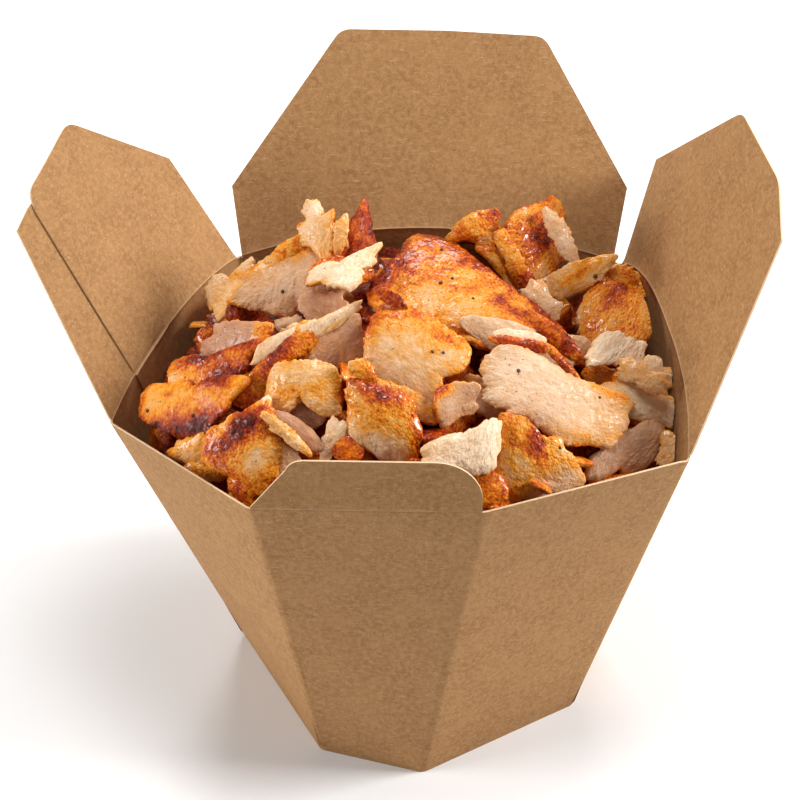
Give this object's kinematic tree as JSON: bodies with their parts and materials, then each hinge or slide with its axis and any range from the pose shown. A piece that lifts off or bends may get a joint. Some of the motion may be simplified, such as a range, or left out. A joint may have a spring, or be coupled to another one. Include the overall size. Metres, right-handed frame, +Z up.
{
  "type": "kebab box",
  "caption": "Open folding carton of brown kraft board with an eight-sided foot, three lid flaps and a closing tab, heaped with sliced kebab meat.",
  "frame": {"origin": "under the middle of the open box, at the level of the foot", "axes": "+Z up; -Y towards the side with the closing tab; +X to the right of someone looking at that side"},
  "size_m": [0.1666, 0.1214, 0.1416],
  "materials": {
    "kraft": "matt uncoated kraft board",
    "meat": "greasy roasted meat"
  },
  "bodies": {
    "carton_body": {"carton": "kraft", "packed_meat": "meat", "slice_crown": "meat", "slice_front_pale": "meat", "slice_big_pale": "meat", "slice_front_brown": "meat", "slice_upper_left": "meat", "slice_top_right": "meat", "slice_right_curl": "meat", "slice_centre": "meat", "slice_cup_rim": "meat", "slice_front_crust": "meat", "slice_charred": "meat", "slice_flake_back": "meat", "slice_flake_right": "meat", "slice_pale_stalk": "meat", "slice_left_gold": "meat", "slice_left_red": "meat", "slice_arch": "meat", "slice_thin_right": "meat", "slice_dark_back": "meat", "slice_spikes": "meat", "slice_pink": "meat", "slice_crescent": "meat", "slice_right_brown": "meat", "slice_right_edge": "meat", "slice_front_right": "meat", "slice_fringe": "meat", "slice_grey": "meat", "slice_ragged_left": "meat", "scrap_left": "meat", "scrap_front": "meat", "scrap_tab": "meat"},
    "back_flap_body": {"back_flap": "kraft"},
    "left_flap_body": {"left_flap": "kraft"},
    "right_flap_body": {"right_flap": "kraft"},
    "front_tab_body": {"front_tab": "kraft"}
  },
  "joints": [
    {"name": "back_hinge", "type": "hinge", "parent": "carton_body", "child": "back_flap_body", "pos_m": [0.00859, 0.02913, 0.09759], "axis": [-0.9999, 0.0117, 0.0107], "range_deg": [-30, 70]},
    {"name": "left_hinge", "type": "hinge", "parent": "carton_body", "child": "left_flap_body", "pos_m": [-0.05174, 0.00074, 0.09416], "axis": [-0.4134, -0.9082, -0.0651], "range_deg": [-45, 60]},
    {"name": "right_hinge", "type": "hinge", "parent": "carton_body", "child": "right_flap_body", "pos_m": [0.06147, -0.00829, 0.09852], "axis": [-0.1253, 0.9917, -0.0276], "range_deg": [-22, 60]},
    {"name": "tab_hinge", "type": "hinge", "parent": "carton_body", "child": "front_tab_body", "pos_m": [-0.00552, -0.06014, 0.0953], "axis": [0.9998, -0.022, 0], "range_deg": [-30, 90]}
  ]
}
